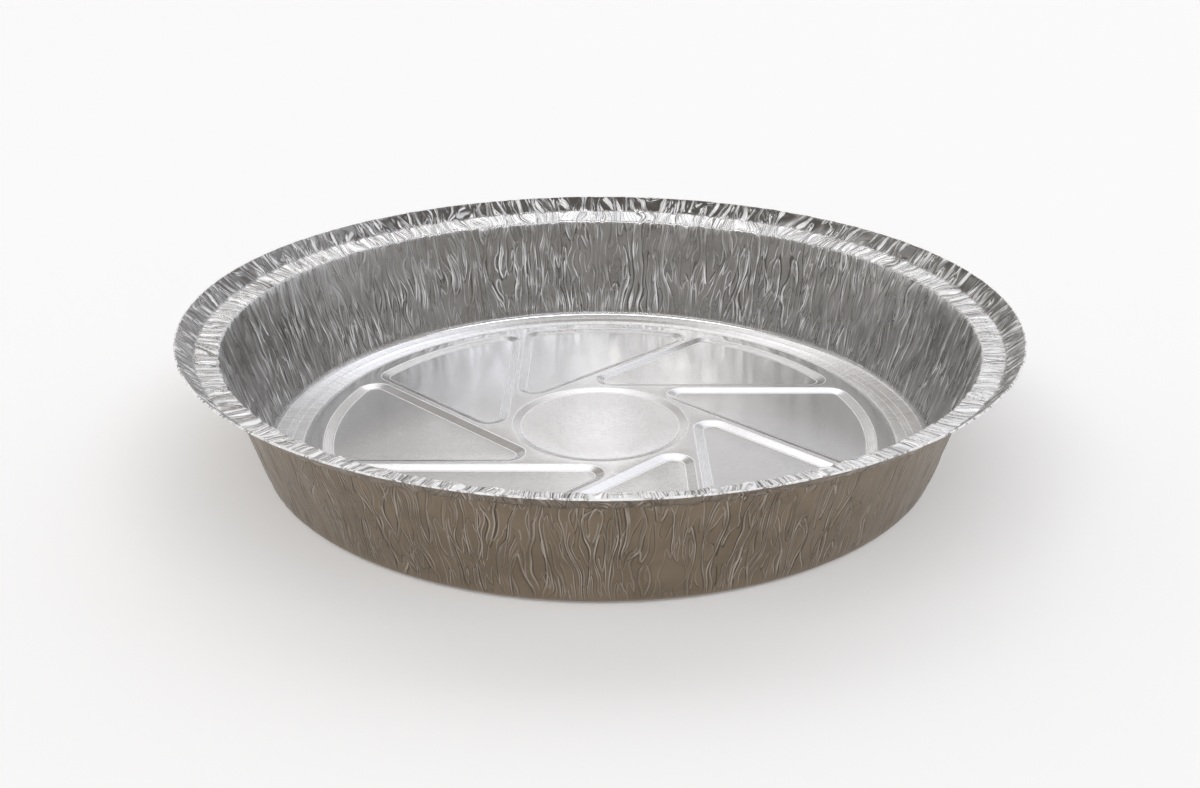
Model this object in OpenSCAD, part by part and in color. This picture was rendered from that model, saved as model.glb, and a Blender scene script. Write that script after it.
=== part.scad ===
// Round foil pan with a ledge for a board lid.
// One sheet of aluminium foil, pressed and gathered: a flat base with a pinwheel of
// sunk panels, a tapered wall full of creases, a level ledge and a flared upright lip.
// The pan stands on a low ring near the edge of its base.

/* [Pan] */
// Width across the edge of the lip
pan_d = 227.6; // [180:0.2:300]
// Height from the surface it stands on to the edge of the lip at both sides
pan_h = 38.5; // [28:0.1:60]
// Width across the base, where wall and base would meet without their rounding
base_d = 189.2; // [150:0.2:190]
// Thickness of the foil
foil_t = 0.1; // [0.08:0.01:0.2]

/* [Rim] */
// Width that the lip flares outwards
lip_flare = 4.3; // [2:0.1:6]
// Height of the lip above the outer corner of the ledge
lip_h = 4.3; // [2:0.1:6]
// Width of the ledge
ledge_w = 5.8; // [4:0.1:12]
// Rise of the ledge from the wall to the lip
ledge_rise = 1.2; // [0:0.1:2]
// Height by which the bent rim stands up at the back and hangs down at the front
rim_bend = 0.95; // [0:0.05:2]
// Further sag of the rim in the middle of its front
front_sag = 0.7; // [0:0.05:1.5]

/* [Gathers] */
// Creases round the pan, a multiple of twelve so that its four sides match
crease_n = 120; // [72:12:120]
// Depth of the creases in the wall
wall_crease = 0.9; // [0:0.05:1.2]
// Depth of the creases across the ledge
ledge_crease = 0.35; // [0:0.05:0.6]
// Depth of the folds in the lip
lip_crease = 0.7; // [0:0.05:1]
// Unevenness of the creases, from none to full
uneven = 0.85; // [0:0.05:0.95]
// Pattern of the uneven creases
crease_seed = 11; // [1:1:99]

/* [Foot of the wall] */
// Radius between wall and base
foot_r = 2.6; // [1.5:0.1:4]
// Width of the flat step inside that radius
step_w = 2.2; // [1:0.1:4]
// Height of the step above the standing ring
step_h = 0.4; // [0.1:0.05:0.6]
// Width of the flat ring that the pan stands on
ring_w = 3.3; // [2:0.1:5]
// Width of each slope beside the standing ring
ring_slope = 2; // [1:0.1:3]

/* [Pinwheel base] */
// Height of the ribs above the standing ring
rib_h = 0.85; // [0.8:0.05:1.2]
// Panels round the base
panel_n = 8; // [6:1:10]
// Depth of the panels below the ribs
panel_drop = 0.7; // [0.2:0.05:0.8]
// Width across the outer edges of the panels
panel_ring_d = 158.8; // [130:0.2:160]
// Width of the flat top of the ribs
rib_w = 1.4; // [0.8:0.1:4]
// Width of the sloped border of the panels and of the disc
border_w = 2.7; // [1.5:0.1:3.5]
// Radius of the panels' corners
panel_corner_r = 5.6; // [4:0.1:8]
// Width across the sunk disc in the middle
disc_d = 51.6; // [40:0.2:54]
// Depth of the disc below the ribs
disc_drop = 0.5; // [0.1:0.05:0.7]

/* [Hidden] */

// Columns of the sheet where it is gathered: each crease has a ridge and a valley
cols = 2 * crease_n;
quarter = cols / 4;
// The smooth rings of the base have one column for three of the gathered wall
coarse_cols = cols / 3;
disc_fn = 36;

// Radii from the lip inwards
lip_r = pan_d / 2;
ledge_out_r = lip_r - lip_flare;
ledge_in_r = ledge_out_r - ledge_w;
base_r = base_d / 2;

// Heights of the middle of the foil
half_t = foil_t / 2;
lip_z = pan_h - half_t;
ledge_out_z = pan_h - lip_h;
ledge_in_z = ledge_out_z - ledge_rise;
step_z = step_h + half_t;
ring_z = half_t;
rib_z = rib_h + half_t;

// Slope of the wall, and the rounding at its foot
wall_angle = atan2(ledge_in_z - step_z, ledge_in_r - base_r);
foot_in_r = base_r - foot_r * tan(wall_angle / 2);
function foot_point(a) = [foot_in_r + foot_r * sin(a), step_z + foot_r * (1 - cos(a))];

// A point on the wall, from its foot at 0 to the ledge at 1
function wall_point(s) =
    let (foot = foot_point(wall_angle), top = [ledge_in_r, ledge_in_z])
    foot + s * (top - foot);

// Radii of the rings in the base
step_in_r = foot_in_r - step_w;
ring_out_r = step_in_r - ring_slope;
ring_in_r = ring_out_r - ring_w;
rib_edge_r = ring_in_r - ring_slope;

// Stations along the section, from the ribs of the base to the lip.
// Each has its radius and height, and the depth of its creases.
smooth_stations = [
    [[rib_edge_r, rib_z], 0],
    [[ring_in_r, ring_z], 0],
    [[ring_out_r, ring_z], 0],
    [[step_in_r, step_z], 0]
];
gathered_stations = [
    [foot_point(0), 0],
    [foot_point(wall_angle * 0.5), 0.1 * wall_crease],
    [foot_point(wall_angle), 0.4 * wall_crease],
    [wall_point(0.27), wall_crease],
    [wall_point(0.62), wall_crease],
    [wall_point(1), 0.8 * ledge_crease],
    [[ledge_out_r, ledge_out_z], ledge_crease],
    [[lip_r, lip_z], lip_crease]
];
stations = concat(smooth_stations, gathered_stations);
first_gathered = len(smooth_stations);
last = len(stations) - 1;

function unit(v) = v / norm(v);
function turn_left(v) = [-v[1], v[0]];
function leg_normal(i) = turn_left(unit(stations[i + 1][0] - stations[i][0]));

// Direction across the foil at a station, long enough to keep the thickness in a bend
function across(i) =
    let (before = i == 0 ? [0, 1] : leg_normal(i - 1))
    let (after = i == last ? before : leg_normal(i))
    let (middle = unit(before + after))
    middle / (middle * after);

// Creases repeat on each quarter of the pan, so that it stays centred
station_depth = rands(0, 1, quarter * (last + 1), crease_seed);
column_depth = rands(0, 1, quarter, crease_seed + 1);
column_lean = rands(-0.5, 0.5, quarter, crease_seed + 2);
function depth_share(i, j) =
    let (q = j % quarter)
    let (mixed = 0.55 * column_depth[q] + 0.45 * station_depth[q * (last + 1) + i])
    1 - uneven * mixed;
function crease(i, j) = stations[i][1] * (j % 2 == 0 ? 0.5 : -0.5) * depth_share(i, j);

// Creases lean a little to one side or the other as they climb the wall
lean_share = 0.2;
function lean(i, j) =
    i <= first_gathered || i == last || j % quarter == 0
        ? 0
        : column_lean[j % quarter] * (i - first_gathered - 3) * lean_share;

// The soft rim isn't level: outside the wall it is bent up at the back and down in front
sag_sharpness = 6;
function bend(i, a) =
    i < last - 1
        ? 0
        : rim_bend * sin(a) - front_sag * max(0, -sin(a)) ^ sag_sharpness;

// A point of the sheet, on its upper side for side = 1 and its under side for side = -1
function sheet_point(i, j, side) =
    let (flat = stations[i][0] + across(i) * (side * half_t + crease(i, j)))
    let (a = 360 * (j + lean(i, j)) / cols)
    [flat[0] * cos(a), flat[0] * sin(a), flat[1] + bend(i, a)];

// Rows of points run out over the upper side to the lip, and back along the under side
rows = 2 * (last + 1);
function row_station(r) = r <= last ? r : rows - 1 - r;
function row_cols(r) = row_station(r) < first_gathered ? coarse_cols : cols;
function row_start(r) = r == 0 ? 0 : row_start(r - 1) + row_cols(r - 1);
starts = [for (r = [0 : rows - 1]) row_start(r)];
function at(r, j) = starts[r] + j % row_cols(r);
sheet_points = [
    for (r = [0 : rows - 1])
        for (j = [0 : row_cols(r) - 1])
            sheet_point(row_station(r), j * cols / row_cols(r), r <= last ? 1 : -1)
];

// Faces between an inner and an outer row: two to a column, or four where one column
// meets three. Both sides of the foil are cut along the same diagonals, so that they stay
// apart where the creases twist.
function even_strip(inner, outer) = [
    for (j = [0 : row_cols(inner) - 1])
        each [
            [at(inner, j), at(inner, j + 1), at(outer, j + 1)],
            [at(inner, j), at(outer, j + 1), at(outer, j)]
        ]
];
function fan_strip(inner, outer) = [
    for (j = [0 : row_cols(inner) - 1])
        each [
            [at(inner, j), at(outer, 3 * j + 1), at(outer, 3 * j)],
            [at(inner, j), at(inner, j + 1), at(outer, 3 * j + 1)],
            [at(inner, j + 1), at(outer, 3 * j + 2), at(outer, 3 * j + 1)],
            [at(inner, j + 1), at(outer, 3 * j + 3), at(outer, 3 * j + 2)]
        ]
];
function between_rows(inner, outer) =
    row_cols(inner) == row_cols(outer) ? even_strip(inner, outer) : fan_strip(inner, outer);
function flipped(faces) = [for (f = faces) [f[0], f[2], f[1]]];
function strip(r) = r <= last ? between_rows(r, r + 1) : flipped(between_rows(r + 1, r));
upper_middle = [for (j = [coarse_cols - 1 : -1 : 0]) at(0, j)];
under_middle = [for (j = [0 : coarse_cols - 1]) at(rows - 1, j)];
sheet_faces = concat([upper_middle, under_middle], [for (r = [0 : rows - 2]) each strip(r)]);

// The whole sheet, with the middle of its base still flat
module sheet() {
    polyhedron(points = sheet_points, faces = sheet_faces);
}

// Two neighbouring ribs touch the disc's circle and close a panel between them.
// A panel's corners are arcs round three centres: one between the two ribs, and one
// where each rib meets the outer arc. A smaller outline keeps the same centres.
panel_a = 360 / panel_n;
panel_r = panel_ring_d / 2;
rib_circle_r = disc_d / 2 + rib_w / 2;
near_rib = rib_circle_r - rib_w / 2 - panel_corner_r;
far_rib = rib_circle_r + rib_w / 2 + panel_corner_r;
centre_r = panel_r - panel_corner_r;
tip_centre = [-near_rib, (far_rib - near_rib * cos(panel_a)) / sin(panel_a)];
near_centre = [-near_rib, sqrt(centre_r ^ 2 - near_rib ^ 2)];
far_centre = far_rib * [-cos(panel_a), sin(panel_a)]
    + sqrt(centre_r ^ 2 - far_rib ^ 2) * [sin(panel_a), cos(panel_a)];
near_dir = atan2(near_centre[1], near_centre[0]);
far_dir = atan2(far_centre[1], far_centre[0]);

function arc(centre, r, from, to, steps) = [
    for (i = [0 : steps])
        let (a = from + (to - from) * i / steps)
        centre + r * [cos(a), sin(a)]
];

// Outline of a panel or of the disc, moved inwards by an inset
function panel_outline(inset) = concat(
    arc(tip_centre, panel_corner_r - inset, 180, 360 - panel_a, 6),
    arc(far_centre, panel_corner_r - inset, -panel_a, far_dir, 5),
    arc([0, 0], panel_r - inset, far_dir, near_dir, 7),
    arc(near_centre, panel_corner_r - inset, near_dir, 180, 4)
);
function disc_outline(inset) = arc([0, 0], disc_d / 2 - inset, 0, 360 - 360 / disc_fn, disc_fn - 1);

// The convex solid round a level outline and a smaller one below it
module between(upper, upper_z, lower, lower_z) {
    points = concat([for (p = upper) [p[0], p[1], upper_z]], [for (p = lower) [p[0], p[1], lower_z]]);
    hull()
        polyhedron(points = points, faces = [[for (i = [0 : len(points) - 1]) i]]);
}

// Sunk forms reach half of the foil's thickness above the side of the foil that they cross
module sunk_panel() {
    between(panel_outline(-border_w * half_t / panel_drop), rib_z,
            panel_outline(border_w), rib_h - panel_drop);
}
module sunk_disc() {
    between(disc_outline(-border_w * half_t / disc_drop), rib_z,
            disc_outline(border_w), rib_h - disc_drop);
}
module sunk_forms() {
    for (k = [0 : panel_n - 1])
        rotate([0, 0, -k * panel_a])
            sunk_panel();
    sunk_disc();
}

// Sunk forms bulge from the under side of the foil, and the same forms, one thickness
// higher, are hollow on its upper side
module pan() {
    color("silver")
        difference() {
            union() {
                sheet();
                sunk_forms();
            }
            translate([0, 0, foil_t])
                sunk_forms();
        }
}

pan();
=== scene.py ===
# %% [markdown]
# # A foil pan, gathered from one sheet
# A foil pan starts as a flat disc of thin aluminium. A press sinks a pattern into its
# base and draws its edge up into a wall. The edge has more foil than the wall needs, so
# it gathers into hundreds of small creases. This lesson makes the same sheet in the same
# order: a smooth pressed blank first, then a node tree that gathers it, then the finish
# of its bright and its matt side, and last the studio that it is photographed in.

# %% Load the frame
import math

import bpy
from mathutils import Matrix, Vector
from mathutils.geometry import delaunay_2d_cdt


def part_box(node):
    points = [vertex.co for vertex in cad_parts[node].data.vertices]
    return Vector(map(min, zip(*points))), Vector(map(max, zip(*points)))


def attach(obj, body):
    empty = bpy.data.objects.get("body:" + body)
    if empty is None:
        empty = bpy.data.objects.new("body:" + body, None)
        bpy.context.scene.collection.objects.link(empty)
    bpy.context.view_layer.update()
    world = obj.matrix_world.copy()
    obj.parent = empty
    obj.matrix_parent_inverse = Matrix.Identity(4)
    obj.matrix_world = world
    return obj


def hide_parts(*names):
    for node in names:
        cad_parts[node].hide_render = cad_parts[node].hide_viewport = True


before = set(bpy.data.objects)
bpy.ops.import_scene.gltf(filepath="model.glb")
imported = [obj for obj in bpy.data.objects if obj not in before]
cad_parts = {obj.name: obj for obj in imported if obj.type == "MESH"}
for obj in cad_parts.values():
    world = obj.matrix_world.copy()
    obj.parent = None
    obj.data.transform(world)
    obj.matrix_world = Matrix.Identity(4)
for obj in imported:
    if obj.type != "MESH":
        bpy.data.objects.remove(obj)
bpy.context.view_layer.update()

MM = 0.001
pan_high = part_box("pan")[1]

# %% [markdown]
# ## The sizes of the pan
# Every size below is in millimetres, as a maker would write it. The width and the height
# come from the frame, so the blank always fits the construction. The lip is drawn a little
# inside the frame's width, because its folds and its turned edge then reach out to it.

# %% Sizes of the pan
foil_t = 0.1
base_r = 94.6
lip_flare, lip_h = 4.1, 4.3
ledge_w, ledge_rise = 5.8, 1.2
edge_r, edge_steps, edge_turn = 0.24, 4, 35
rim_bend, front_sag = 0.95, 0.7
fold_play, fold_rise = 0.55, 0.2
lip_r = pan_high.x / MM - fold_play
lip_z = pan_high.z / MM - rim_bend - fold_rise
ledge_out_r = lip_r - lip_flare
ledge_in_r = ledge_out_r - ledge_w
print("lip radius", round(lip_r, 2))
print("ledge from", round(ledge_in_r, 2), "to", round(ledge_out_r, 2))

# %% [markdown]
# ## The section of the blank
# Cut through the middle, half of the pan is one bent line: a rib, the ring that the pan
# stands on, a step, the wall, the ledge for a lid, and the flared lip. A press can't fold
# a knife edge, so every corner is an arc. Arcs also matter to the picture: a bright metal
# edge is only seen because its narrow rounding mirrors a lamp from somewhere.

# %% The corners of the section
rib_edge_r, ring_in_r, ring_out_r, step_in_r = 83.12, 85.12, 88.42, 90.42
ring_z = foil_t / 2
step_rise, rib_rise = 0.4, 0.85
step_z = step_rise + ring_z
rib_z = rib_rise + ring_z
press_round, foot_round, ledge_in_round, ledge_out_round = 2.0, 1.8, 0.7, 0.8

# Each corner has its radius from the axis, its height and its own rounding
corners = [
    (rib_edge_r, rib_z, press_round),
    (ring_in_r, ring_z, press_round),
    (ring_out_r, ring_z, press_round),
    (step_in_r, step_z, press_round),
    (base_r, step_z, foot_round),
    (ledge_in_r, lip_z - lip_h - ledge_rise, ledge_in_round),
    (ledge_out_r, lip_z - lip_h, ledge_out_round),
    (lip_r, lip_z, 0.0),
]
# How many pieces each straight stretch and each arc is cut into
stretch_steps = [1, 2, 1, 1, 18, 5, 5]
arc_steps = [2, 2, 2, 2, 5, 3, 3]
print("corners of the section:", len(corners))

# %% [markdown]
# ## From corners to one line
# A fillet helper turns each corner into an arc that touches both of its neighbours'
# stretches. The last bit of the lip is turned outwards and down, which makes the edge
# safe to hold and gives it the thin bright line that runs all round the real pan. The
# finish also paints that turned edge lighter, as a painted highlight.

# %% The section as one line of stations


def fillet(before, corner, after, radius, steps):
    """Points of the arc that rounds one corner."""
    back, onward = (before - corner).normalized(), (after - corner).normalized()
    half = back.angle(onward) / 2
    centre = corner + (back + onward).normalized() * radius / math.sin(half)
    start = corner + back * radius / math.tan(half) - centre
    end = corner + onward * radius / math.tan(half) - centre
    sweep = math.atan2(start.x * end.y - start.y * end.x, start.dot(end))
    return [centre + Matrix.Rotation(sweep * i / steps, 2) @ start for i in range(steps + 1)]


def turned_edge(path):
    """The edge of the lip is turned outwards and down, so that nobody cuts a finger."""
    up = (path[-1] - path[-2]).normalized()
    centre = path[-1] + Vector((up.y, -up.x)) * edge_r
    turns = [-math.radians(edge_turn * k) for k in range(1, edge_steps + 1)]
    return [centre + Matrix.Rotation(turn, 2) @ (path[-1] - centre) for turn in turns]


def section():
    """The whole section, from the outermost rib to the edge of the lip."""
    spots = [Vector(corner[:2]) for corner in corners]
    inside = 2 * spots[0] - Vector((ring_in_r, rib_z))
    path = fillet(inside, spots[0], spots[1], corners[0][2], arc_steps[0])
    for i in range(1, len(spots)):
        curve = [spots[i]]
        if i < len(spots) - 1:
            curve = fillet(*spots[i - 1:i + 2], corners[i][2], arc_steps[i])
        steps = stretch_steps[i - 1]
        path += [path[-1].lerp(curve[0], k / steps) for k in range(1, steps)]
        path += curve
    return path + turned_edge(path)


stations = section()
print("stations from the rib to the edge of the lip:", len(stations))

# %% [markdown]
# ## Measuring along the foil
# Folds belong to the foil and not to the room, so each station also gets its distance
# along the section, counted from the foot of the wall. A soft rim never stays level: on
# the photographed pan it is bent up at the back and sags in front.

# %% Distances along the section
foot_reach = 2.2
along = [0.0]
for a, b in zip(stations, stations[1:]):
    along.append(along[-1] + (b - a).length)
foot = next(i for i, p in enumerate(stations) if p.x > base_r - foot_reach)
along = [s - along[foot] for s in along]
ring_crests = [min(range(foot), key=lambda i: abs(stations[i].x - r))
               for r in (ring_in_r, ring_out_r, step_in_r)]
ledge_begins = next(s for s, p in zip(along, stations) if p.x > ledge_in_r)
ledge_ends = next(s for s, p in zip(along, stations) if p.x > ledge_out_r)


def rim_lift(station, turn):
    """How far the soft rim is bent up at the back or down in front, outside the wall."""
    share = min(max((station.x - ledge_in_r) / ledge_w, 0), 1)
    return share * (rim_bend * math.sin(turn) - front_sag * max(0, -math.sin(turn)) ** 6)


print("foot at station", foot, "and wall and rim unroll to", round(along[-1], 1), "mm")

# %% [markdown]
# ## The pinwheel in the base
# Eight straight ribs stiffen the base. Each touches the circle round the sunk disc, and
# between two neighbours the foil is pressed down into a panel. One panel is a closed
# outline of arcs and straight sides. A smaller copy with the same arc centres, a few
# millimetres further in, is the foot of its slope.

# %% Sizes of the panels and of the disc
panel_n = 8
panel_a = math.tau / panel_n
panel_r, corner_r, border_w, panel_drop = 79.4, 5.6, 2.7, 0.82
disc_r, disc_drop = 25.8, 0.62
rib_w = 1.4

near_rib = disc_r - corner_r
far_rib = disc_r + rib_w + corner_r
centre_r = panel_r - corner_r
tip = Vector((-near_rib, (far_rib - near_rib * math.cos(panel_a)) / math.sin(panel_a)))
near = Vector((-near_rib, math.sqrt(centre_r ** 2 - near_rib ** 2)))
far_side = math.sqrt(centre_r ** 2 - far_rib ** 2)
far = Vector((
    -far_rib * math.cos(panel_a) + far_side * math.sin(panel_a),
    far_rib * math.sin(panel_a) + far_side * math.cos(panel_a),
))
print("arc centres of one panel:", [tuple(round(c, 1) for c in p) for p in (tip, near, far)])

# %% [markdown]
# ## Arcs and straight sides
# A die is turned and milled, so its outlines are arcs joined by straight sides. Four arcs
# round one panel, and each side between them is cut up into short pieces. Long thin
# triangles would show as streaks in a mirror as smooth as foil.

# %% Outlines of the panels and of the disc
side_step = 3.0


def arc(centre, radius, start, end, steps):
    """Points on an arc, with its angles in radians."""
    turns = [start + (end - start) * i / steps for i in range(steps + 1)]
    return [centre + radius * Vector((math.cos(t), math.sin(t))) for t in turns]


def circle(radius, count):
    """Points all round a circle about the axis."""
    return arc(Vector((0, 0)), radius, 0, math.tau, count)[:-1]


def panel_outline(inset):
    """One panel, moved inwards by an inset, with its long sides cut up as well."""
    near_turn = math.atan2(near.y, near.x)
    far_turn = math.atan2(far.y, far.x)
    curves = [
        arc(tip, corner_r - inset, math.pi, math.tau - panel_a, 9),
        arc(far, corner_r - inset, -panel_a, far_turn, 7),
        arc(Vector((0, 0)), panel_r - inset, far_turn, near_turn, 14)[1:-1],
        arc(near, corner_r - inset, near_turn, math.pi, 6),
    ]
    outline = []
    for curve, following in zip(curves, curves[1:] + curves[:1]):
        gap = following[0] - curve[-1]
        pieces = max(1, round(gap.length / side_step))
        outline += curve + [curve[-1] + gap * k / pieces for k in range(1, pieces)]
    return outline


print("points in one panel outline:", len(panel_outline(0)))

# %% [markdown]
# ## Rounded slopes
# A pressed slope has no hard edge either. Its upper and its lower edge are drawn three
# times each, a little apart, and the heights of the three follow a small parabola. The
# edge then catches a narrow line of light, as in the photograph, and the finish also
# paints it lighter, as a painted highlight.

# %% Height of a slope from its distance to the rib
soften = 0.3
slope_insets = [-soften, 0, soften, border_w - soften, border_w, border_w + soften]


def slope_share(inset):
    """How far down the slope a point is, from 0 on the rib to 1 on the floor."""
    def softened(x):
        if abs(x) >= soften:
            return max(x, 0)
        return (x + soften) ** 2 / (4 * soften)
    return (softened(inset) - softened(inset - border_w)) / border_w


print("shares of the slope:", [round(slope_share(inset), 3) for inset in slope_insets])

# %% [markdown]
# ## Drawing the base
# The base is a flat drawing of all these outlines. Each point of it carries its height,
# and whether it lies on a pressed edge, which the finish paints lighter as a highlight.
# The outermost loop is the first ring of the section, so the drawing and the rings join
# there.

# %% Draw the base
coarse_cols = 240
disc_cols = 72


def base_drawing():
    """Flat points with their heights and crests, and the outlines as edges between them."""
    points, heights, crests, edges = [], [], [], []

    def loop(outline, height, crest_highlight):
        first = len(points)
        points.extend(outline)
        heights.extend([height] * len(outline))
        crests.extend([crest_highlight] * len(outline))
        edges.extend((first + i, first + (i + 1) % len(outline)) for i in range(len(outline)))

    loop(circle(stations[0].x, coarse_cols), rib_z, 0.0)
    for inset in slope_insets:
        share = slope_share(inset)
        # The edges of each slope get a painted highlight in the finish
        crest_highlight = 1.0 if inset in (0, border_w) else 0.0
        loop(circle(disc_r - inset, disc_cols), rib_z - disc_drop * share, crest_highlight)
        for k in range(panel_n):
            turn = Matrix.Rotation(-k * panel_a, 2)
            outline = [turn @ p for p in panel_outline(inset)]
            loop(outline, rib_z - panel_drop * share, crest_highlight)
    return points, heights, crests, edges


drawing = base_drawing()
print("points in the drawing of the base:", len(drawing[0]))

# %% [markdown]
# ## Filling the drawing
# A constrained triangulation fills the base and keeps every outline as an edge. Loose
# points every few millimetres between the outlines let the floor ripple later. They have
# no height of their own, and take that of the level that they lie on.

# %% Fill the base with triangles
spacing = 6.0
clearance = 2.2


def loose_points(points):
    """Points on a staggered grid, wherever there is room between the outlines."""
    grid = {}
    for p in points:
        grid.setdefault((round(p.x / spacing), round(p.y / spacing)), []).append(p)
    loose = []
    reach = int(stations[0].x / spacing)
    for i in range(-reach, reach + 1):
        for j in range(-reach, reach + 1):
            p = Vector(((i + 0.5 * (j % 2)) * spacing, j * spacing))
            column, row = round(p.x / spacing), round(p.y / spacing)
            near_by = [q for a in (-1, 0, 1) for b in (-1, 0, 1)
                       for q in grid.get((column + a, row + b), [])]
            inside = p.length < stations[0].x - spacing / 2
            if inside and all((p - q).length > clearance for q in near_by):
                loose.append(p)
    return loose


def spread_heights(triangles, height_of):
    """A loose point takes the height of the level that its drawn neighbours share."""
    waiting = True
    while waiting:
        waiting = False
        for triangle in triangles:
            known = [height_of[i] for i in triangle if i in height_of]
            for i in triangle:
                if i not in height_of:
                    if known:
                        height_of[i] = known[0]
                    else:
                        waiting = True


def filled_base():
    """The points of the base, its triangles, its pressed edges and its outermost ring."""
    points, heights, crests, edges = drawing
    loose = loose_points(points)
    made = delaunay_2d_cdt(points + loose, edges, [], 0, 1e-6)
    flat, triangles, origins = made[0], made[2], made[3]
    height_of = {}
    pressed = [0.0] * len(flat)
    for i, sources in enumerate(origins):
        drawn = [s for s in sources if s < len(points)]
        if drawn:
            height_of[i] = heights[drawn[0]]
            pressed[i] = crests[drawn[0]]
    spread_heights(triangles, height_of)
    verts = [(p.x, p.y, height_of[i]) for i, p in enumerate(flat)]
    index = {sources[0]: i for i, sources in enumerate(origins) if sources}
    print("base:", len(verts), "points, of which", len(loose), "are loose")
    outermost = [index[j] for j in range(coarse_cols)]
    return verts, [tuple(t) for t in triangles], pressed, outermost


base = filled_base()

# %% [markdown]
# ## The blank
# Rings of points follow the section outwards from the base. At the foot of the wall one
# column becomes four, because only the gathered foil needs fine columns. Each point also
# remembers its place on the unrolled foil, in the attribute `sheet`: two values for the
# direction round the pan and one for the distance along the section.

# %% Build the smooth blank
fine = 4
fine_cols = coarse_cols * fine


def ring_faces(inner, outer):
    """Faces between two rings, whose upper side is the inside of the pan."""
    n, m = len(inner), len(outer)
    if n == m:
        return [(inner[j], outer[j], outer[(j + 1) % m], inner[(j + 1) % n]) for j in range(n)]
    made = []
    for j in range(n):
        fan = [outer[(fine * j + k) % m] for k in range(fine + 1)]
        a, b = inner[j], inner[(j + 1) % n]
        made += [(a, fan[0], fan[1]), (a, fan[1], fan[2]), (a, fan[2], b)]
        made += [(b, fan[2], fan[3]), (b, fan[3], fan[4])]
    return made


def blank_mesh():
    """The smooth sheet, where its points lie on the unrolled foil, and its pressed edges."""
    verts, faces, pressed, row = map(list, base)
    sheet = [(x, y, along[0] - 1) for x, y, z in verts]
    for i, station in enumerate(stations[1:], 1):
        count = coarse_cols if i <= foot else fine_cols
        outer = list(range(len(verts), len(verts) + count))
        for j in range(count):
            turn = math.tau * j / count
            x, y = math.cos(turn), math.sin(turn)
            verts.append((station.x * x, station.x * y, station.y + rim_lift(station, turn)))
            sheet.append((base_r * x, base_r * y, along[i]))
        # The ring crests and the turned edge of the lip get a painted highlight too
        crest_highlight = i in ring_crests or i >= len(stations) - edge_steps
        pressed += [1.0 if crest_highlight else 0.0] * count
        faces += ring_faces(row, outer)
        row = outer
    return verts, faces, sheet, pressed


verts, faces, sheet, pressed = blank_mesh()
blank = bpy.data.meshes.new("pressed_blank")
blank.from_pydata([Vector(v) * MM for v in verts], [], faces)
blank.attributes.new("sheet", "FLOAT_VECTOR", "POINT")
blank.attributes["sheet"].data.foreach_set("vector", [c for s in sheet for c in s])
blank.attributes.new("pressed_edge", "FLOAT", "POINT")
blank.attributes["pressed_edge"].data.foreach_set("value", pressed)
blank.validate()
pan = bpy.data.objects.new("foil_pan", blank)
bpy.context.scene.collection.objects.link(pan)
print("blank:", len(verts), "points and", len(faces), "faces")

# %% [markdown]
# ## Helpers for node trees
# The gathers are made by geometry nodes and the finish by shader nodes. Both kinds of
# tree know the same nodes for sums and noise, so both can use the same helpers. One adds
# a node and fills its sockets, and the others are short names for what is needed often.
# Drawn in the node editor, the same tree would be a wide tangle of hundreds of wires.

# %% Node helpers


def add(tree, kind, inputs=None, **settings):
    """Adds a node, sets it, and fills or links its inputs."""
    made = tree.nodes.new(kind)
    for name, value in settings.items():
        setattr(made, name, value)
    for name, value in (inputs or {}).items():
        if isinstance(value, bpy.types.NodeSocket):
            tree.links.new(value, made.inputs[name])
        else:
            made.inputs[name].default_value = value
    return made


def calc(tree, operation, *values):
    """One step of arithmetic on numbers."""
    return add(tree, "ShaderNodeMath", dict(enumerate(values)), operation=operation).outputs[0]


def plus(tree, first, second):
    return calc(tree, "ADD", first, second)


def minus(tree, first, second):
    return calc(tree, "SUBTRACT", first, second)


def times(tree, first, second):
    return calc(tree, "MULTIPLY", first, second)


def larger(tree, first, second):
    return calc(tree, "MAXIMUM", first, second)


def scaled_sum(tree, value, scale, start):
    """A value times a scale, added to what there is."""
    return calc(tree, "MULTIPLY_ADD", value, scale, start)


def ramp(tree, value, low, high, start=0.0, end=1.0):
    """A soft change from one value to another, between two bounds."""
    inputs = {"Value": value, "From Min": low, "From Max": high, "To Min": start, "To Max": end}
    made = add(tree, "ShaderNodeMapRange", inputs, interpolation_type="SMOOTHSTEP")
    return made.outputs["Result"]


def band(tree, value, centre, inner, outer, start=1.0, end=0.0):
    """A soft band about a centre, between an inner and an outer half width."""
    return ramp(tree, calc(tree, "ABSOLUTE", minus(tree, value, centre)), inner, outer, start, end)


def vector_calc(tree, operation, *values):
    """One step of arithmetic on vectors."""
    made = add(tree, "ShaderNodeVectorMath", dict(enumerate(values)), operation=operation)
    return made.outputs["Vector"]


def lengthened(tree, vector, factor):
    """A vector times one number."""
    made = add(tree, "ShaderNodeVectorMath", {0: vector, "Scale": factor}, operation="SCALE")
    return made.outputs["Vector"]


helpers = (add, calc, plus, minus, times, larger, scaled_sum, ramp, band, vector_calc, lengthened)
print("node helpers:", [helper.__name__ for helper in helpers])

# %% [markdown]
# ## The fold pattern
# Noise that is drawn out along the section gives long folds that wander and end, as
# gathered foil has. A second and a third noise sway the first one, so that the folds lean
# and meet in acute angles. Shape and finish share this pattern, so a fold of the mesh and
# the bright line along its edge always lie at the same place.

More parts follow.
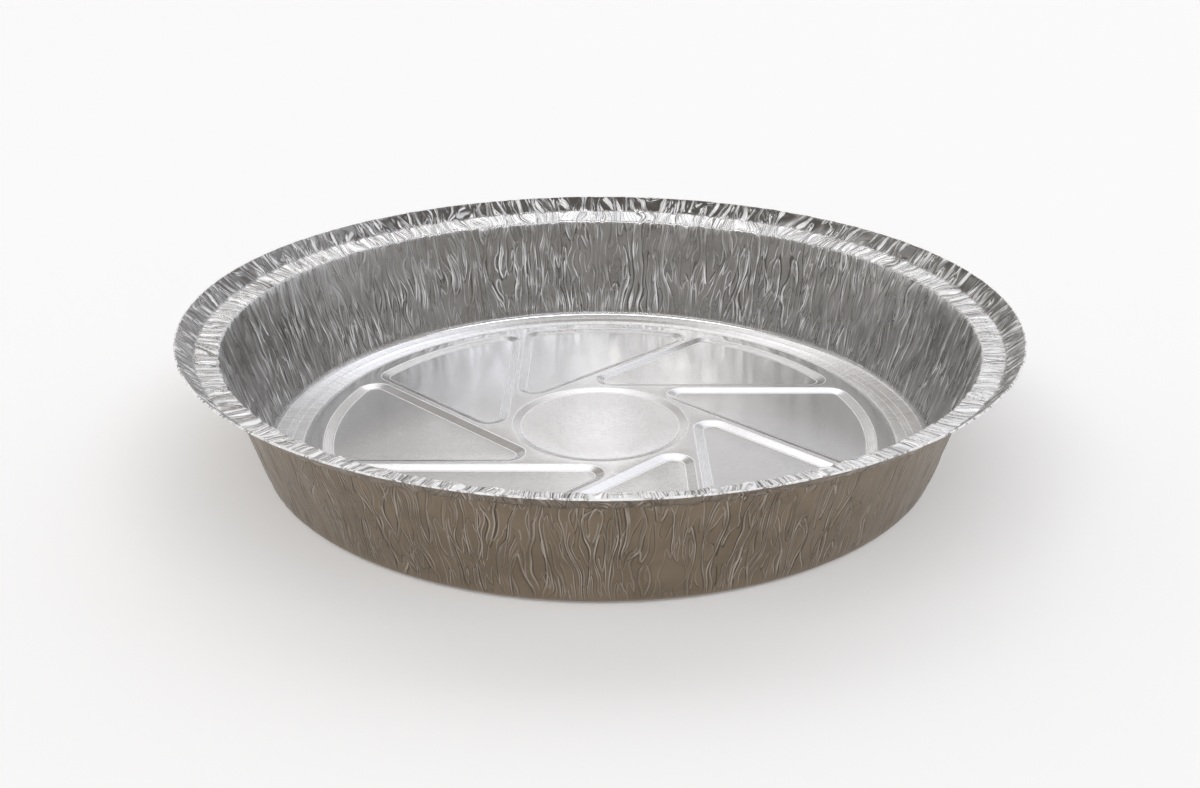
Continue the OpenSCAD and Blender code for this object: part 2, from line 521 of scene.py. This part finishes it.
# %% Noise that is drawn out into folds
# Size of each noise in mm, across and along the section, and its seed
noises = {
    "broad sway": (11.0, 20.0, 1),
    "small sway": (4.0, 7.0, 2),
    "broad": (2.7, 15.0, 4),
    "narrow": (1.6, 9.0, 7),
    "ledge": (1.3, 12.0, 11),
    "pleat": (3.1, 9.3, 13),
    "lip": (2.2, 9.0, 16),
    "swell": (5.0, 33.0, 19),
    "ripple": (25.0, 25.0, 21),
    "patches": (20.0, 20.0, 23),
    "glints": (2.5, 6.0, 24),
}
# How far the two sways push a fold aside, in mm from one end to the other
broad_sway, small_sway = 4.4, 1.5


def noise(tree, place, seed, detail=0.0):
    """Noise between 0 and 1 at a place; each seed reads another part of it."""
    moved = vector_calc(tree, "ADD", place, (11.7 * seed, 5.3 * seed, 8.9 * seed))
    inputs = {"Vector": moved, "Scale": 1.0, "Detail": detail, "Roughness": 0.5}
    return add(tree, "ShaderNodeTexNoise", inputs, noise_dimensions="3D").outputs[0]


def fold_field(tree, place, kind):
    """Noise drawn out along the section. Where it passes one half, a fold has its edge."""
    across, along_by, seed = noises[kind]
    drawn = vector_calc(tree, "MULTIPLY", place, (1 / across, 1 / across, 1 / along_by))
    return noise(tree, drawn, seed)


def beside(tree, place, step):
    """The place one small step further round the pan."""
    turned = vector_calc(tree, "CROSS_PRODUCT", (0, 0, step / base_r), place)
    return vector_calc(tree, "ADD", place, turned)


def swayed(tree, place, on_ledge, on_lip):
    """The place, swayed by two noises, twice as far on the rim as on the wall."""
    broad = scaled_sum(tree, fold_field(tree, place, "broad sway"), broad_sway, -broad_sway / 2)
    small = scaled_sum(tree, fold_field(tree, place, "small sway"), small_sway, -small_sway / 2)
    reach = plus(tree, plus(tree, on_ledge, on_lip), 1.0)
    turned = vector_calc(tree, "CROSS_PRODUCT", (0, 0, 1 / base_r), place)
    away = lengthened(tree, turned, times(tree, plus(tree, broad, small), reach))
    return vector_calc(tree, "ADD", place, away)


print("kinds of noise:", list(noises))

# %% [markdown]
# ## Where each kind of fold lies
# The wall, the ledge and the lip each have folds of their own size, and soft ramps hand
# over from one to the next. The pressed base stays plain, but for a ripple that only
# shows in what it mirrors. All sizes are named inputs of the node tree.

# %% Sizes of the gathers, and the zones of the sheet
gather_inputs = {
    "Wall fold": 0.36,
    "Ledge fold": 0.45,
    "Lip fold": 0.45,
    "Floor ripple": 0.02,
    "Foot ends": 5.0,
    "Ledge begins": ledge_begins,
    "Ledge ends": ledge_ends,
    "Lip ends": along[-1],
    "Foil thickness": foil_t,
}
# Where the gathers start, and how far before and after its bound a zone hands over, in mm
gathers_start = 0.4
wall_to_ledge, ledge_to_lip = (1.2, 0.6), (0.6, 0.9)


def past(tree, length, bound, before, after):
    """How far a point is past a bound of the sheet, from 0 to 1."""
    return ramp(tree, length, minus(tree, bound, before), plus(tree, bound, after))


def zones(tree, length, given):
    """How much of a point lies on the wall, on the ledge and on the lip."""
    past_foot = ramp(tree, length, gathers_start, given["Foot ends"])
    past_wall = past(tree, length, given["Ledge begins"], *wall_to_ledge)
    past_ledge = past(tree, length, given["Ledge ends"], *ledge_to_lip)
    on_wall = times(tree, past_foot, minus(tree, 1.0, past_wall))
    on_ledge = times(tree, past_wall, minus(tree, 1.0, past_ledge))
    return on_wall, on_ledge, past_ledge


print("sizes of the gathers:", {name: round(size, 2) for name, size in gather_inputs.items()})

# %% [markdown]
# ## The height of each fold
# A fold of thin foil is flat on top and steep at its sides, not round like a wave. So each
# noise is cut into two levels, with a soft step between them. The wall has broad and
# narrow folds on a soft swell. Ledge and lip have fine folds on wider pleats.

# %% Heights of the folds
# How soft the side of each fold is, as a part of the noise on either side of one half
softness = {"broad": 0.09, "narrow": 0.13, "ledge": 0.13, "pleat": 0.2, "lip": 0.14}
# How much each kind adds to the wall
wall_shares = {"broad": 0.5, "narrow": 0.3, "swell": 0.6}


def flat_fold(tree, place, kind):
    """Long flat folds with steep sides, between 0 and 1."""
    soft = softness[kind]
    return ramp(tree, fold_field(tree, place, kind), 0.5 - soft, 0.5 + soft)


def wall_folds(tree, place, wandering):
    """Broad and narrow folds on a soft swell."""
    broad = times(tree, flat_fold(tree, wandering, "broad"), wall_shares["broad"])
    narrow = times(tree, flat_fold(tree, wandering, "narrow"), wall_shares["narrow"])
    swell = times(tree, fold_field(tree, place, "swell"), wall_shares["swell"])
    folds = plus(tree, plus(tree, broad, narrow), swell)
    return minus(tree, folds, sum(wall_shares.values()) / 2)


def rim_folds(tree, wandering, kind, pleat, pleat_share):
    """Fine folds on wider pleats, as high above the foil as below it."""
    folds = scaled_sum(tree, pleat, pleat_share, flat_fold(tree, wandering, kind))
    return minus(tree, folds, (1 + pleat_share) / 2)


def fold_height(tree, place, given):
    """How far each point is moved across the sheet, in mm."""
    length = add(tree, "ShaderNodeSeparateXYZ", {0: place}).outputs["Z"]
    on_wall, on_ledge, on_lip = zones(tree, length, given)
    wandering = swayed(tree, place, on_ledge, on_lip)
    pleat = flat_fold(tree, wandering, "pleat")
    # The folds of the lip grow calmer towards its turned edge
    end = given["Lip ends"]
    calmer = ramp(tree, length, minus(tree, end, 3.0), minus(tree, end, 0.8), 1.0, 0.3)
    lip = times(tree, rim_folds(tree, wandering, "lip", pleat, 0.5), calmer)
    on_base = ramp(tree, length, -3.0, 0.0, 1.0, 0.0)
    made = [
        ("Wall fold", wall_folds(tree, place, wandering), on_wall),
        ("Ledge fold", rim_folds(tree, wandering, "ledge", pleat, 0.6), on_ledge),
        ("Lip fold", lip, on_lip),
        ("Floor ripple", fold_field(tree, place, "ripple"), on_base),
    ]
    height = 0.0
    for name, folds, share in made:
        height = scaled_sum(tree, times(tree, folds, share), given[name], height)
    return height


print("softness of the folds:", softness)

# %% [markdown]
# ## Gathering the blank
# The tree moves each point of the blank across the sheet by the height of its fold. It
# then gives the foil its thickness: the moved blank, turned over, is the outer side, and
# a copy of it, raised by the thickness, is the inner side. The outer side is marked, so
# that it gets the matt finish.

# %% The tree that gathers the foil


def two_sided(tree, geometry, fold, thickness):
    """The folded foil with both its sides, of which the outer one is marked."""
    half = times(tree, thickness, MM / 2)
    across = add(tree, "GeometryNodeInputNormal").outputs[0]
    shift = lengthened(tree, across, minus(tree, times(tree, fold, MM), half))
    moved = {"Geometry": geometry, "Offset": shift}
    under = add(tree, "GeometryNodeSetPosition", moved).outputs[0]
    outwards = add(tree, "GeometryNodeInputNormal").outputs[0]
    lift = lengthened(tree, outwards, times(tree, half, 2.0))
    extrusion = {"Mesh": under, "Offset": lift, "Offset Scale": 1.0, "Individual": False}
    raised = add(tree, "GeometryNodeExtrudeMesh", extrusion, mode="FACES").outputs["Mesh"]
    turned = add(tree, "GeometryNodeFlipFaces", {"Mesh": under}).outputs[0]
    mark = {"Geometry": turned, "Name": "matt_side", "Value": True}
    marked = add(tree, "GeometryNodeStoreNamedAttribute", mark,
                 data_type="BOOLEAN", domain="FACE").outputs[0]
    both = add(tree, "GeometryNodeJoinGeometry")
    for side in (raised, marked):
        tree.links.new(side, both.inputs[0])
    joined = {"Geometry": both.outputs[0], "Distance": 0.001 * MM}
    return add(tree, "GeometryNodeMergeByDistance", joined).outputs[0]


def gather_tree(bright, matt):
    """Builds the node tree; its sizes are its named inputs."""
    tree = bpy.data.node_groups.new("gathered_foil", "GeometryNodeTree")
    face = tree.interface
    face.new_socket("Geometry", in_out="INPUT", socket_type="NodeSocketGeometry")
    for name, value in gather_inputs.items():
        face.new_socket(name, in_out="INPUT", socket_type="NodeSocketFloat").default_value = value
    face.new_socket("Geometry", in_out="OUTPUT", socket_type="NodeSocketGeometry")
    given = add(tree, "NodeGroupInput").outputs
    place = add(tree, "GeometryNodeInputNamedAttribute", {"Name": "sheet"},
                data_type="FLOAT_VECTOR").outputs["Attribute"]
    fold = fold_height(tree, place, given)
    whole = two_sided(tree, given["Geometry"], fold, given["Foil thickness"])
    smooth = add(tree, "GeometryNodeSetShadeSmooth", {"Geometry": whole}).outputs[0]
    real = add(tree, "GeometryNodeRealizeInstances", {"Geometry": smooth}).outputs[0]
    shiny = add(tree, "GeometryNodeSetMaterial", {"Geometry": real, "Material": bright}).outputs[0]
    is_matt = add(tree, "GeometryNodeInputNamedAttribute", {"Name": "matt_side"},
                  data_type="BOOLEAN").outputs["Attribute"]
    outside = {"Geometry": shiny, "Selection": is_matt, "Material": matt}
    done = add(tree, "GeometryNodeSetMaterial", outside).outputs[0]
    add(tree, "NodeGroupOutput", {"Geometry": done})
    return tree


print("the tree will have", len(gather_inputs), "sizes as inputs")

# %% [markdown]
# ## The grain of the foil
# Rolled foil has one bright side, which faces the food, and one matt side. Both are bare
# metal, so the look comes mostly from what they mirror, though the finish below also
# paints shade and highlights into their colours. The rolls leave a very fine grain of
# parallel lines, which smears every reflection across it. A real grain line is far finer
# than a pixel, so it is bump and roughness and not mesh.

# %% Shader group for the grain


def shader_group(name, inputs, outputs):
    """An empty shader group with its sockets, and the outputs of its input node."""
    tree = bpy.data.node_groups.new(name, "ShaderNodeTree")
    for label, value in inputs.items():
        socket = tree.interface.new_socket(label, in_out="INPUT", socket_type="NodeSocketFloat")
        socket.default_value = value
    for label in outputs:
        tree.interface.new_socket(label, in_out="OUTPUT", socket_type="NodeSocketFloat")
    return tree, add(tree, "NodeGroupInput").outputs


def rolled_grain():
    """The lines that the rolls leave, coarse and hair fine, and a soft mottling."""
    depths = {"Grain depth": 0.012, "Hair depth": 0.01}
    tree, given = shader_group("rolled_grain", depths, ["Height", "Mottle"])
    place = add(tree, "ShaderNodeTexCoord").outputs["Object"]
    mm = vector_calc(tree, "MULTIPLY", place, (1 / MM, 1 / MM, 1 / MM))
    coarse = noise(tree, vector_calc(tree, "MULTIPLY", mm, (0.6, 3.2, 1.0)), 31)
    hairs = noise(tree, vector_calc(tree, "MULTIPLY", mm, (1.0, 9.0, 1.0)), 32)
    mottle = noise(tree, vector_calc(tree, "MULTIPLY", mm, (0.12, 0.12, 0.12)), 33, detail=2.0)
    height = times(tree, coarse, given["Grain depth"])
    height = scaled_sum(tree, hairs, given["Hair depth"], height)
    add(tree, "NodeGroupOutput", {"Height": height, "Mottle": mottle})
    return tree


grain = rolled_grain()
print("grain:", len(grain.nodes), "nodes")

# %% [markdown]
# ## Painted light along the folds
# A thin bright line is painted along the edge of each fold as a highlight, and a narrow
# painted shade lies beside it. The distance to an edge isn't stored anywhere. It is found
# from the noise itself: how far its value is from one half, divided by how fast it changes
# round the pan. Two such lines are as wide on a flat fold as on a steep one.

# %% Lines at the edges of the folds
# Half widths of the bright line, of the dark one and of the fold's side, in mm
shine_w, shade_w, rise_w = 0.24, 0.27, 0.5
shade_at = -0.38
# How much the bump rises under a painted highlight line
highlight_ridge_rise = 0.7
look_ahead, flattest = 0.15, 0.03


def line(tree, offset, centre, half_width):
    """A thin soft line at one distance from the edge of a fold."""
    return band(tree, offset, centre, 0.3 * half_width, half_width)


def distances(tree, wandering, kind, levels, width):
    """Distances from the edges of the folds, and how upright those edges stand."""
    here = fold_field(tree, wandering, kind)
    there = fold_field(tree, beside(tree, wandering, look_ahead), kind)
    slope = calc(tree, "DIVIDE", calc(tree, "ABSOLUTE", minus(tree, there, here)), look_ahead)
    gentle = times(tree, plus(tree, slope, flattest), width)
    away = [calc(tree, "DIVIDE", minus(tree, here, level), gentle) for level in levels]
    return away, ramp(tree, slope, 0.02, 0.1)


def fold_lines(tree, wandering, kinds, glint, width):
    """The bright and dark lines of all kinds of folds, and the height of the folds."""
    bright = dark = height = 0.0
    for kind, share, size, levels in kinds:
        offsets, upright = distances(tree, wandering, kind, levels, width)
        share = times(tree, share, upright)
        for away, strength in zip(offsets, levels.values()):
            here = times(tree, share, strength)
            # A painted highlight on the edge of the fold, and a painted shade beside it
            shine = times(tree, line(tree, away, 0.0, shine_w * size), here)
            shade = times(tree, line(tree, away, shade_at * size, shade_w * size), here)
            rise = times(tree, ramp(tree, away, -rise_w * size, rise_w * size), here)
            bright = larger(tree, bright, times(tree, shine, glint))
            dark = larger(tree, dark, shade)
            height = plus(tree, height, scaled_sum(tree, shine, highlight_ridge_rise, rise))
    return bright, dark, height


print("a bright line is", 2 * shine_w, "mm wide and a dark one", 2 * shade_w, "mm")

# %% [markdown]
# ## Which foil has lines
# The lines come and go on the real pan: patches of the wall are almost plain, and along
# one line the painted highlight glints here and fades there. Two more noises do that. The
# group also gives out the zones of the sheet, because the finish needs them for its colours.
# The band round the base is dished in the photograph. A tilt of the shading shows that as
# well, and the pan still stands on a flat ring.

# %% Shader group for the edges of the folds
# In mm along the section: where the ring starts, where the foot is passed, and the dish
ring_starts, foot_passed, dished = (-11.0, -9.5), (1.4, 2.8), (-8.0, 2.0)
# Half width of the painted shade line in the corner below the lip, in mm
corner_shade_w = 0.5


def folded_edges():
    """Lines along the edges of the folds, and the zones of the sheet."""
    sizes = {name: gather_inputs[name] for name in ("Foot ends", "Ledge begins", "Ledge ends")}
    sizes.update({"Corner shade share": 0.0, "Line width": 1.0, "Foot tilt": 0.0})
    # The first two results mark where highlight and shade are painted along the lines
    results = ["Bright", "Painted shade lines", "Height", "Gathered", "Wall", "Ledge", "Lip", "Ring", "Foot"]
    tree, given = shader_group("folded_edges", sizes, results)
    place = add(tree, "ShaderNodeAttribute", attribute_name="sheet").outputs["Vector"]
    length = add(tree, "ShaderNodeSeparateXYZ", {0: place}).outputs["Z"]
    on_wall, on_ledge, on_lip = zones(tree, length, given)
    gathered = ramp(tree, length, *foot_passed)
    on_ring = times(tree, ramp(tree, length, *ring_starts), minus(tree, 1.0, gathered))
    patchy = ramp(tree, fold_field(tree, place, "patches"), 0.35, 0.62, 0.4, 1.0)
    # Where along a line the painted highlight glints and where it fades
    glint = ramp(tree, fold_field(tree, place, "glints"), 0.35, 0.65, 0.25, 1.0)
    lined_wall = times(tree, on_wall, patchy)
    lined_ledge = scaled_sum(tree, on_ring, 0.1, on_ledge)
    # Each kind has the width of its lines, and the folded levels of its noise with strengths
    kinds = [
        ("broad", lined_wall, 0.9, {0.5: 1.0, 0.6: 0.4}),
        ("narrow", lined_wall, 0.8, {0.5: 0.7}),
        ("ledge", lined_ledge, 1.1, {0.5: 1.0, 0.4: 0.6}),
        ("lip", on_lip, 1.0, {0.5: 1.0, 0.41: 0.7, 0.59: 0.7}),
    ]
    wandering = swayed(tree, place, on_ledge, on_lip)
    bright, dark, height = fold_lines(tree, wandering, kinds, glint, given["Line width"])
    # A painted shade line also follows the corner between ledge and lip, where the ledge shades
    # the wall
    corner = line(tree, length, ledge_ends, corner_shade_w)
    corner = times(tree, corner, given["Corner shade share"])
    # The press leaves the foil round the base a little dished, so that it mirrors the window
    dish = plus(tree, calc(tree, "MINIMUM", length, dished[1]), -dished[0])
    dish = times(tree, larger(tree, dish, 0.0), given["Foot tilt"])
    values = [bright, larger(tree, dark, corner), height, gathered,
              on_wall, on_ledge, on_lip, on_ring, dish]
    add(tree, "NodeGroupOutput", dict(zip(results, values)))
    return tree


folds_group = folded_edges()
print("lines along the folds:", len(folds_group.nodes), "nodes")

# %% [markdown]
# ## The colours of the foil
# Both sides use one recipe. The colour goes from zone to zone, and the painted highlight
# and shade lines lie over it. The foil of the wall and of the lip is given darker than bare
# aluminium as painted shade: its creases are too fine to model and would scatter part of
# the light, and it mirrors dim parts of the room. The ring of the bright side is painted
# lighter than its base, as a highlight.

# %% Colours from zone to zone


def group(tree, which, inputs=None):
    return add(tree, "ShaderNodeGroup", inputs, node_tree=which).outputs


def blend(tree, share, first, second):
    """Mixes two colours, each given as three numbers or as a socket."""
    made = add(tree, "ShaderNodeMix", data_type="RGBA")
    tree.links.new(share, made.inputs["Factor"])
    for name, colour in (("A", first), ("B", second)):
        if isinstance(colour, bpy.types.NodeSocket):
            tree.links.new(colour, made.inputs[name])
        else:
            made.inputs[name].default_value = (*colour, 1)
    return made.outputs["Result"]


def foil_colour(tree, look, rolled, folded, pressed):
    """The colour of each zone, with its painted shade and highlights, and the lines over it."""
    # Wall and lip colours are darkened as painted shade
    colour = blend(tree, ramp(tree, rolled["Mottle"], 0.3, 0.7), *look["wall"])
    colour = blend(tree, folded["Ledge"], colour, look["ledge"])
    colour = blend(tree, folded["Lip"], colour, look["lip"])
    # The ring of the bright side is painted lighter than the base, as a highlight
    flat = blend(tree, folded["Ring"], look["base"], look["ring"])
    colour = blend(tree, folded["Gathered"], flat, colour)
    # The pressed crests are painted lighter, as a highlight
    colour = blend(tree, pressed, colour, look["crest_highlight"])
    # Painted shade beside the folds and in the corner below the lip
    colour = blend(tree, folded["Painted shade lines"], colour, look["shade"])
    # The painted highlight along the edges of the folds
    return blend(tree, folded["Bright"], colour, look["shine"])


sockets = folds_group.interface.items_tree
print("the lines give out:", [socket.name for socket in sockets if socket.in_out == "OUTPUT"])

# %% [markdown]
# ## Gloss and relief
# The pressed base is the smoothest foil of the pan. The lines of painted highlight and the
# pressed crests are rougher, and partly matt instead of fully metallic. All that is finer
# than the mesh is one height in millimetres, and a bump node turns that height into a tilt
# of the shading.

# %% The foil material
flat_gloss, ring_rough, highlit_rough, pressed_rough = 0.85, 0.08, 0.4, 0.3
gathered_grain, pressed_height = 0.3, 0.04


def foil_roughness(tree, look, rolled, folded, pressed):
    """Smoothest in the pressed base, roughest on the lines of painted highlight and the crests."""
    rough = ramp(tree, rolled["Mottle"], 0.3, 0.7, *look["gloss"])
    rough = times(tree, rough, ramp(tree, folded["Gathered"], 0.0, 1.0, flat_gloss, 1.0))
    rough = scaled_sum(tree, folded["Wall"], look["worn"], rough)
    rough = scaled_sum(tree, folded["Ring"], ring_rough, rough)
    rough = scaled_sum(tree, folded["Bright"], highlit_rough, rough)
    return scaled_sum(tree, pressed, pressed_rough, rough)


def foil_relief(tree, look, rolled, folded, pressed):
    """The height of all that is finer than the mesh, in mm."""
    grain_share = ramp(tree, folded["Gathered"], 0.0, 1.0, 1.0, gathered_grain)
    height = times(tree, rolled["Height"], grain_share)
    height = scaled_sum(tree, folded["Height"], look["depth"], height)
    height = scaled_sum(tree, pressed, pressed_height, height)
    return plus(tree, folded["Foot"], height)


def foil(name, look):
    """Bare foil; its colour and gloss change a little over the sheet."""
    material = bpy.data.materials.new(name)
    material.use_nodes = True
    tree = material.node_tree
    tree.nodes.clear()
    shares = {"Corner shade share": "corner", "Line width": "line", "Foot tilt": "dish"}
    folded = group(tree, folds_group, {label: look[key] for label, key in shares.items()})
    rolled = group(tree, grain)
    pressed = add(tree, "ShaderNodeAttribute", attribute_name="pressed_edge").outputs["Fac"]
    parts = (tree, look, rolled, folded, pressed)
    # Lines of painted highlight and pressed crests are also rougher and partly matt
    highlit = larger(tree, folded["Bright"], pressed)
    relief = {"Height": foil_relief(*parts), "Strength": 1.0, "Distance": MM}
    shader = add(tree, "ShaderNodeBsdfPrincipled", {
        "Base Color": foil_colour(*parts),
        "Roughness": foil_roughness(*parts),
        "Metallic": minus(tree, 1.0, times(tree, highlit, look["scatter"])),
        "Normal": add(tree, "ShaderNodeBump", relief).outputs["Normal"],
    })
    add(tree, "ShaderNodeOutputMaterial", {"Surface": shader.outputs["BSDF"]})
    return material


print("crushed edges are rougher by", highlit_rough)

# %% [markdown]
# ## A bright and a matt side
# The bright side is nearly neutral. The matt side has the warm brown that the photograph
# shows on the outside: a painted reflection of the dim ground in the pan's shade, which
# the outside mirrors. Its painted highlight lines are finer and dimmer, and only it has a
# painted shade line in the corner below the lip. The dished band is only seen from
# inside, so only that side tilts.

# %% The two finishes
# Colours first: wall and lip are darkened as painted shade, crest and shine are painted
# highlight, and shade is painted shade. Then gloss is the roughness, depth the height of
# the lines, corner the painted shade line below the lip, line its width, worn the wall's
# extra roughness, scatter how matt a highlit line or crest is, and dish the tilt of the foot
# On the bright side, the wall and lip colours are painted shade
bright_look = {
    # The ring colour is a painted highlight
    "base": (0.85, 0.85, 0.86), "ring": (0.97, 0.97, 0.98),
    "wall": [(0.455, 0.45, 0.44), (0.53, 0.525, 0.515)],
    "ledge": (0.88, 0.88, 0.885), "lip": (0.25, 0.245, 0.24),
    "crest_highlight": (1.0, 1.0, 1.0), "shine": (1.0, 1.0, 1.0), "shade": (0.21, 0.204, 0.198),
    "gloss": [0.14, 0.19], "depth": 0.07, "corner": 0.0,
    "line": 1.25, "worn": 0.12, "scatter": 0.65, "dish": 0.42,
}
# The matt side's browns are a painted reflection of shaded ground, its crest and shine painted
# highlight
matt_look = {
    "base": (0.3, 0.243, 0.183), "ring": (0.3, 0.243, 0.183),
    "wall": [(0.22, 0.176, 0.13), (0.27, 0.218, 0.162)],
    "ledge": (0.26, 0.208, 0.155), "lip": (0.26, 0.208, 0.155),
    "crest_highlight": (0.42, 0.35, 0.28), "shine": (0.6, 0.54, 0.48), "shade": (0.11, 0.088, 0.067),
    "gloss": [0.26, 0.34], "depth": 0.06, "corner": 0.8,
    "line": 0.75, "worn": 0.0, "scatter": 0.2, "dish": 0.0,
}
bright_side = foil("foil_bright_side", bright_look)
matt_side = foil("foil_matt_side", matt_look)
print("finishes:", bright_side.name, matt_side.name)

# %% [markdown]
# ## The gathered pan
# Now the tree runs on the blank, and its result is kept as a plain mesh, so that nothing
# is left to compute. Edges sharper than 75 degrees stay sharp: those are the cut edge of
# the foil.

# %% Gather the blank and keep the result as a plain mesh
blank.materials.append(bright_side)
blank.materials.append(matt_side)
tree = gather_tree(bright_side, matt_side)
modifier = pan.modifiers.new("gather", "NODES")
modifier.node_group = tree
for socket in tree.interface.items_tree:
    if socket.in_out == "INPUT" and socket.name in gather_inputs:
        modifier[socket.identifier] = gather_inputs[socket.name]
graph = bpy.context.evaluated_depsgraph_get()
gathered = bpy.data.meshes.new_from_object(
    pan.evaluated_get(graph), preserve_all_data_layers=True, depsgraph=graph)
pan.modifiers.clear()
pan.data = gathered
gathered.name = "foil_pan"
gathered.set_sharp_from_angle(angle=math.radians(75))
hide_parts("pan")
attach(pan, "root")
triangles = sum(len(p.vertices) - 2 for p in gathered.polygons)
print("gathered pan:", triangles, "triangles, materials", [m.name for m in gathered.materials])

# %% [markdown]
# ## The floor
# The photograph has a plain white ground. The floor is pale and nearly matt, and gives a
# little light of its own to the camera and to the foil alike, so it looks white and still
# keeps the soft shadow of the pan.

# %% A pale floor
floor_half = 12.0
floor_glow = 0.2


def floor():
    mesh = bpy.data.meshes.new("floor")
    z = -0.1 * MM
    square = [(x * floor_half, y * floor_half, z) for x, y in ((-1, -1), (1, -1), (1, 1), (-1, 1))]
    mesh.from_pydata(square, [], [(0, 1, 2, 3)])
    made = bpy.data.objects.new("floor", mesh)
    bpy.context.scene.collection.objects.link(made)
    material = bpy.data.materials.new("pale_floor")
    material.use_nodes = True
    tree = material.node_tree
    shader = tree.nodes["Principled BSDF"]
    shader.inputs["Base Color"].default_value = (0.86, 0.86, 0.855, 1)
    shader.inputs["Roughness"].default_value = 0.9
    shader.inputs["Specular IOR Level"].default_value = 0.1
    shader.inputs["Emission Color"].default_value = (1, 1, 1, 1)
    rays = add(tree, "ShaderNodeLightPath").outputs
    seen = larger(tree, rays["Is Camera Ray"], rays["Is Glossy Ray"])
    seen = larger(tree, seen, rays["Is Transmission Ray"])
    tree.links.new(times(tree, seen, floor_glow), shader.inputs["Emission Strength"])
    mesh.materials.append(material)
    return made


print("floor:", floor().name)

# %% [markdown]
# ## The room
# Foil only shows its surroundings, so the room decides the look. It is a dome of light in
# which every direction has its own brightness. The directions were found by mirroring the
# camera's rays in the pan. Low behind the pan stands a pale wall, which the flat base
# mirrors. Above a dim gap comes a broad window, which the slopes that face the camera
# mirror. At its left hangs a dark flag, for the slopes that face left, and in its middle
# a bright streak. A second soft lamp stands high in front, for the creases of the far
# wall, and faint ones stand at the sides. The rest of the room is dim, because the far
# wall and the lip, which mirror it, are dark in the photograph.

# %% A dome of light
window_light, streak_light, lamp_light = 0.92, 0.42, 3.0
flank_light, skirting_light = 0.12, 0.45
dim_room = (0.335, 0.317, 0.3, 1)
left_tint, right_tint = (0.99, 0.99, 1.0), (0.93, 0.96, 1.04)


def light_behind(tree, x, y, z):
    """Pale wall, dim gap and window behind the pan, with the flag at their left."""
    pale_wall = ramp(tree, z, 0.35, 0.5, 0.7, 0.15)
    window = larger(tree, pale_wall, ramp(tree, z, 0.52, 0.76, 0.15, 1.0))
    window = times(tree, window, ramp(tree, z, 0.92, 0.985, 1.0, 0.1))
    flag = band(tree, x, -0.32, 0.14, 0.2, 0.9, 0.0)
    flag = times(tree, flag, ramp(tree, z, 0.72, 0.82, 1.0, 0.0))
    # The flag has a thin place, where the flat base at the left mirrors it
    flag = times(tree, flag, band(tree, z, 0.42, 0.03, 0.07, 0.1, 1.0))
    window = times(tree, window, minus(tree, 1.0, flag))
    return times(tree, window, ramp(tree, y, 0.05, 0.3))


def light_of_room(tree, x, y, z):
    """The brightness of each direction of the room."""
    # A bright upright streak in the middle of the window, and a lamp high in front
    streak = times(tree, band(tree, x, 0.0, 0.0, 0.05), ramp(tree, y, 0.1, 0.4))
    lamp = times(tree, band(tree, z, 0.745, 0.07, 0.12), ramp(tree, y, -0.3, -0.1, 1.0, 0.0))
    side = calc(tree, "ABSOLUTE", x)
    flank = times(tree, ramp(tree, side, 0.86, 0.96), ramp(tree, z, 0.3, 0.6, 1.0, 0.0))
    # All round the room a pale skirting, so that it has no dark horizon
    skirting = ramp(tree, z, 0.02, 0.1, 1.0, 0.0)
    light = times(tree, light_behind(tree, x, y, z), window_light)
    light = scaled_sum(tree, streak, streak_light, light)
    light = scaled_sum(tree, lamp, lamp_light, light)
    light = scaled_sum(tree, flank, flank_light, light)
    return scaled_sum(tree, skirting, skirting_light, light)


def room():
    """The dome, where a brightness of 1 is white."""
    world = bpy.data.worlds.new("room")
    bpy.context.scene.world = world
    world.use_nodes = True
    tree = world.node_tree
    towards = add(tree, "ShaderNodeTexCoord").outputs["Generated"]
    x, y, z = add(tree, "ShaderNodeSeparateXYZ", {0: towards}).outputs
    tint = blend(tree, ramp(tree, x, 0.05, 0.2), left_tint, right_tint)
    lamps = {"Color": tint, "Strength": light_of_room(tree, x, y, z)}
    both = add(tree, "ShaderNodeAddShader", {
        0: add(tree, "ShaderNodeBackground", {"Color": dim_room}).outputs[0],
        1: add(tree, "ShaderNodeBackground", lamps).outputs[0],
    })
    tree.links.new(both.outputs[0], tree.nodes["World Output"].inputs["Surface"])
    return world


print("room:", len(room().node_tree.nodes), "nodes")

# %% [markdown]
# ## The camera
# The camera was fitted to the outlines of the pan in the photograph: its lens, its height,
# its distance and how far it looks down. That way each rib and each edge falls on the same
# place in both pictures.

# %% The photograph's camera


def camera():
    data = bpy.data.cameras.new("camera")
    data.lens = 36.0
    data.sensor_width = 36.0
    data.clip_start = 0.01
    made = bpy.data.objects.new("camera", data)
    made.location = (0, -319.4 * MM, 148.5 * MM)
    made.rotation_euler = (math.radians(90 - 23.46), 0, 0)
    bpy.context.scene.collection.objects.link(made)
    bpy.context.scene.camera = made
    return made


print("camera at", [round(c, 4) for c in camera().location])
bpy.context.scene.view_settings.view_transform = "Standard"
